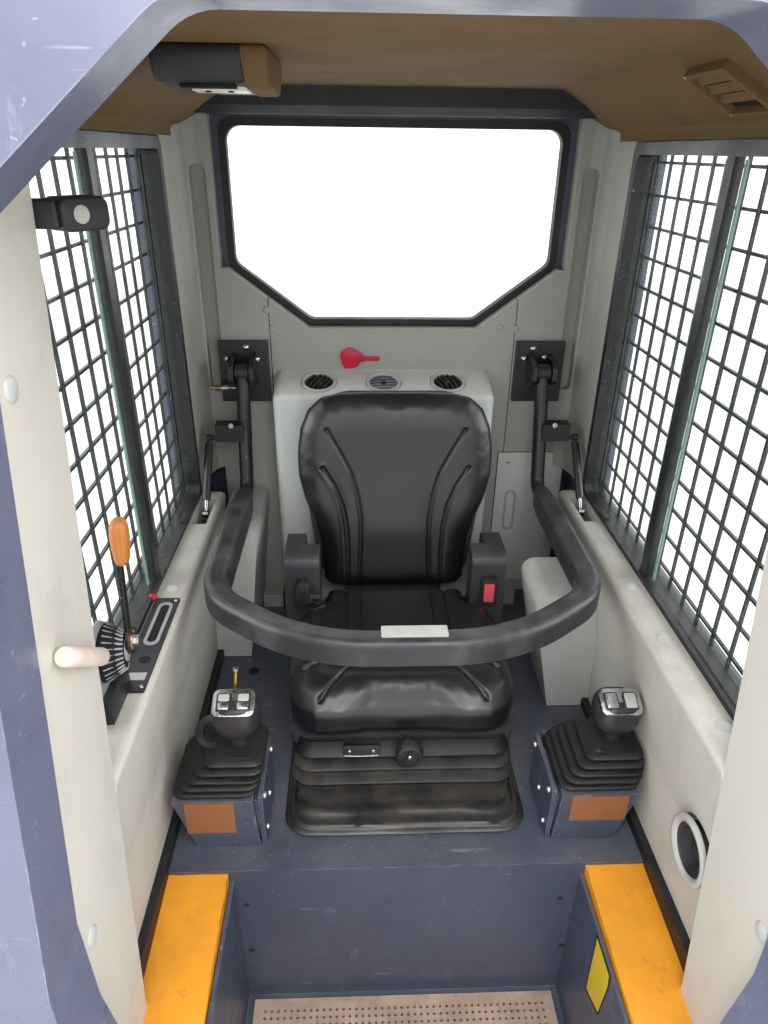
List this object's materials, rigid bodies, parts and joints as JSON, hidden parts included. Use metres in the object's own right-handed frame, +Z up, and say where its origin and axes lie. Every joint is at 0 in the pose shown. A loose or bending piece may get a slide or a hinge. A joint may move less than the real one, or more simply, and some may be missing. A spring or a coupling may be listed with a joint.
{
  "type": "skid steer loader cab",
  "caption": "Open-fronted operator cab with seat, swing-up restraint bar on gas struts, joystick pods, side windows with mesh guards and rear window.",
  "frame": {"origin": "middle of the base's rectangle, on the plane the cab stands on", "axes": "+Z up, the open front and the operator's view face -Y, the rear window faces +Y, +X is the operator's left seen from inside looking out, right in the picture"},
  "size_m": [1.04, 1.4, 1.72],
  "materials": {
    "cab_paint": "satin slate blue-grey paint",
    "black_paint": "satin black paint",
    "box_paint": "amber yellow paint",
    "rod_chrome": "polished rod",
    "trim_grey": "grained warm grey moulding",
    "liner_tan": "tan moulding",
    "dark_moulding": "dark grained moulding",
    "grip_plastic": "smooth dark moulding",
    "rubber_black": "matt rubber",
    "mat_rubber": "worn pinkish tan rubber",
    "seat_vinyl": "black vinyl",
    "window_glass": "clear glass"
  },
  "bodies": {
    "cab": {"air_vents": "dark_moulding", "bar_brackets": "black_paint", "ceiling_lamp": "dark_moulding", "ceiling_louvre": "dark_moulding", "centre_trim": "trim_grey", "console_plate": "dark_moulding", "corner_trim_left": "trim_grey", "corner_trim_right": "trim_grey", "edge_rails": "rubber_black", "escape_pull": "dark_moulding", "floor_platform": "cab_paint", "footwell_mat": "mat_rubber", "footwell_pan": "cab_paint", "front_frame": "cab_paint", "headliner": "liner_tan", "joystick_boots": "rubber_black", "joystick_grips": "grip_plastic", "joystick_pods": "cab_paint", "mesh_guards": "black_paint", "pillar_lamp": "dark_moulding", "pillar_trim_left": "trim_grey", "pillar_trim_right": "trim_grey", "rear_band": "dark_moulding", "rear_box_left": "trim_grey", "rear_box_right": "trim_grey", "rear_frame": "cab_paint", "rear_window_glass": "window_glass", "rear_window_seal": "rubber_black", "roof_panel": "cab_paint", "seat_bellows": "rubber_black", "seat_rails": "black_paint", "side_boxes": "box_paint", "side_frame_left": "cab_paint", "side_frame_right": "cab_paint", "side_panes": "window_glass", "sill_trim_left": "trim_grey", "sill_trim_right": "trim_grey", "speaker": "dark_moulding", "strut_feet": "black_paint", "throttle_lever": "black_paint", "throttle_mount": "dark_moulding", "vent_shelf": "trim_grey", "window_frames": "black_paint"},
    "restraint_bar": {"restraint_arms": "black_paint", "restraint_hoop": "dark_moulding"},
    "seat": {"seat_cushion": "seat_vinyl", "seat_backrest": "seat_vinyl", "seat_shell": "dark_moulding", "seat_knob": "dark_moulding", "belt_retractor": "dark_moulding", "belt_buckle": "dark_moulding"},
    "strut_cylinder_left": {"strut_cylinder_left": "black_paint"},
    "strut_rod_left": {"strut_rod_left": "rod_chrome"},
    "strut_cylinder_right": {"strut_cylinder_right": "black_paint"},
    "strut_rod_right": {"strut_rod_right": "rod_chrome"}
  },
  "joints": [
    {"name": "bar_hinge", "type": "hinge", "parent": "cab", "child": "restraint_bar", "pos_m": [0, 0.5, 1.07], "axis": [-1, 0, 0], "range_deg": [0, 60]},
    {"name": "seat_slide", "type": "slide", "parent": "cab", "child": "seat", "axis": [0, 1, 0], "range_m": [-0.12, 0.01]},
    {"name": "strut_swing_left", "type": "hinge", "parent": "restraint_bar", "child": "strut_cylinder_left", "pos_m": [-0.43, 0.445, 0.93], "axis": [-1, 0, 0], "range_deg": [-99, 0]},
    {"name": "strut_stroke_left", "type": "slide", "parent": "strut_cylinder_left", "child": "strut_rod_left", "axis": [0, -0.6562, -0.7546], "range_m": [0, 0.054]},
    {"name": "strut_swing_right", "type": "hinge", "parent": "restraint_bar", "child": "strut_cylinder_right", "pos_m": [0.43, 0.445, 0.93], "axis": [-1, 0, 0], "range_deg": [-99, 0]},
    {"name": "strut_stroke_right", "type": "slide", "parent": "strut_cylinder_right", "child": "strut_rod_right", "axis": [0, -0.6562, -0.7546], "range_m": [0, 0.054]}
  ],
  "couplings": [
    {"joint": "strut_swing_left", "follows": "bar_hinge", "ratio": -1.6355},
    {"joint": "strut_stroke_left", "follows": "bar_hinge", "m_per_rad": 0.051295},
    {"joint": "strut_swing_right", "follows": "bar_hinge", "ratio": -1.6355},
    {"joint": "strut_stroke_right", "follows": "bar_hinge", "m_per_rad": 0.051295}
  ]
}
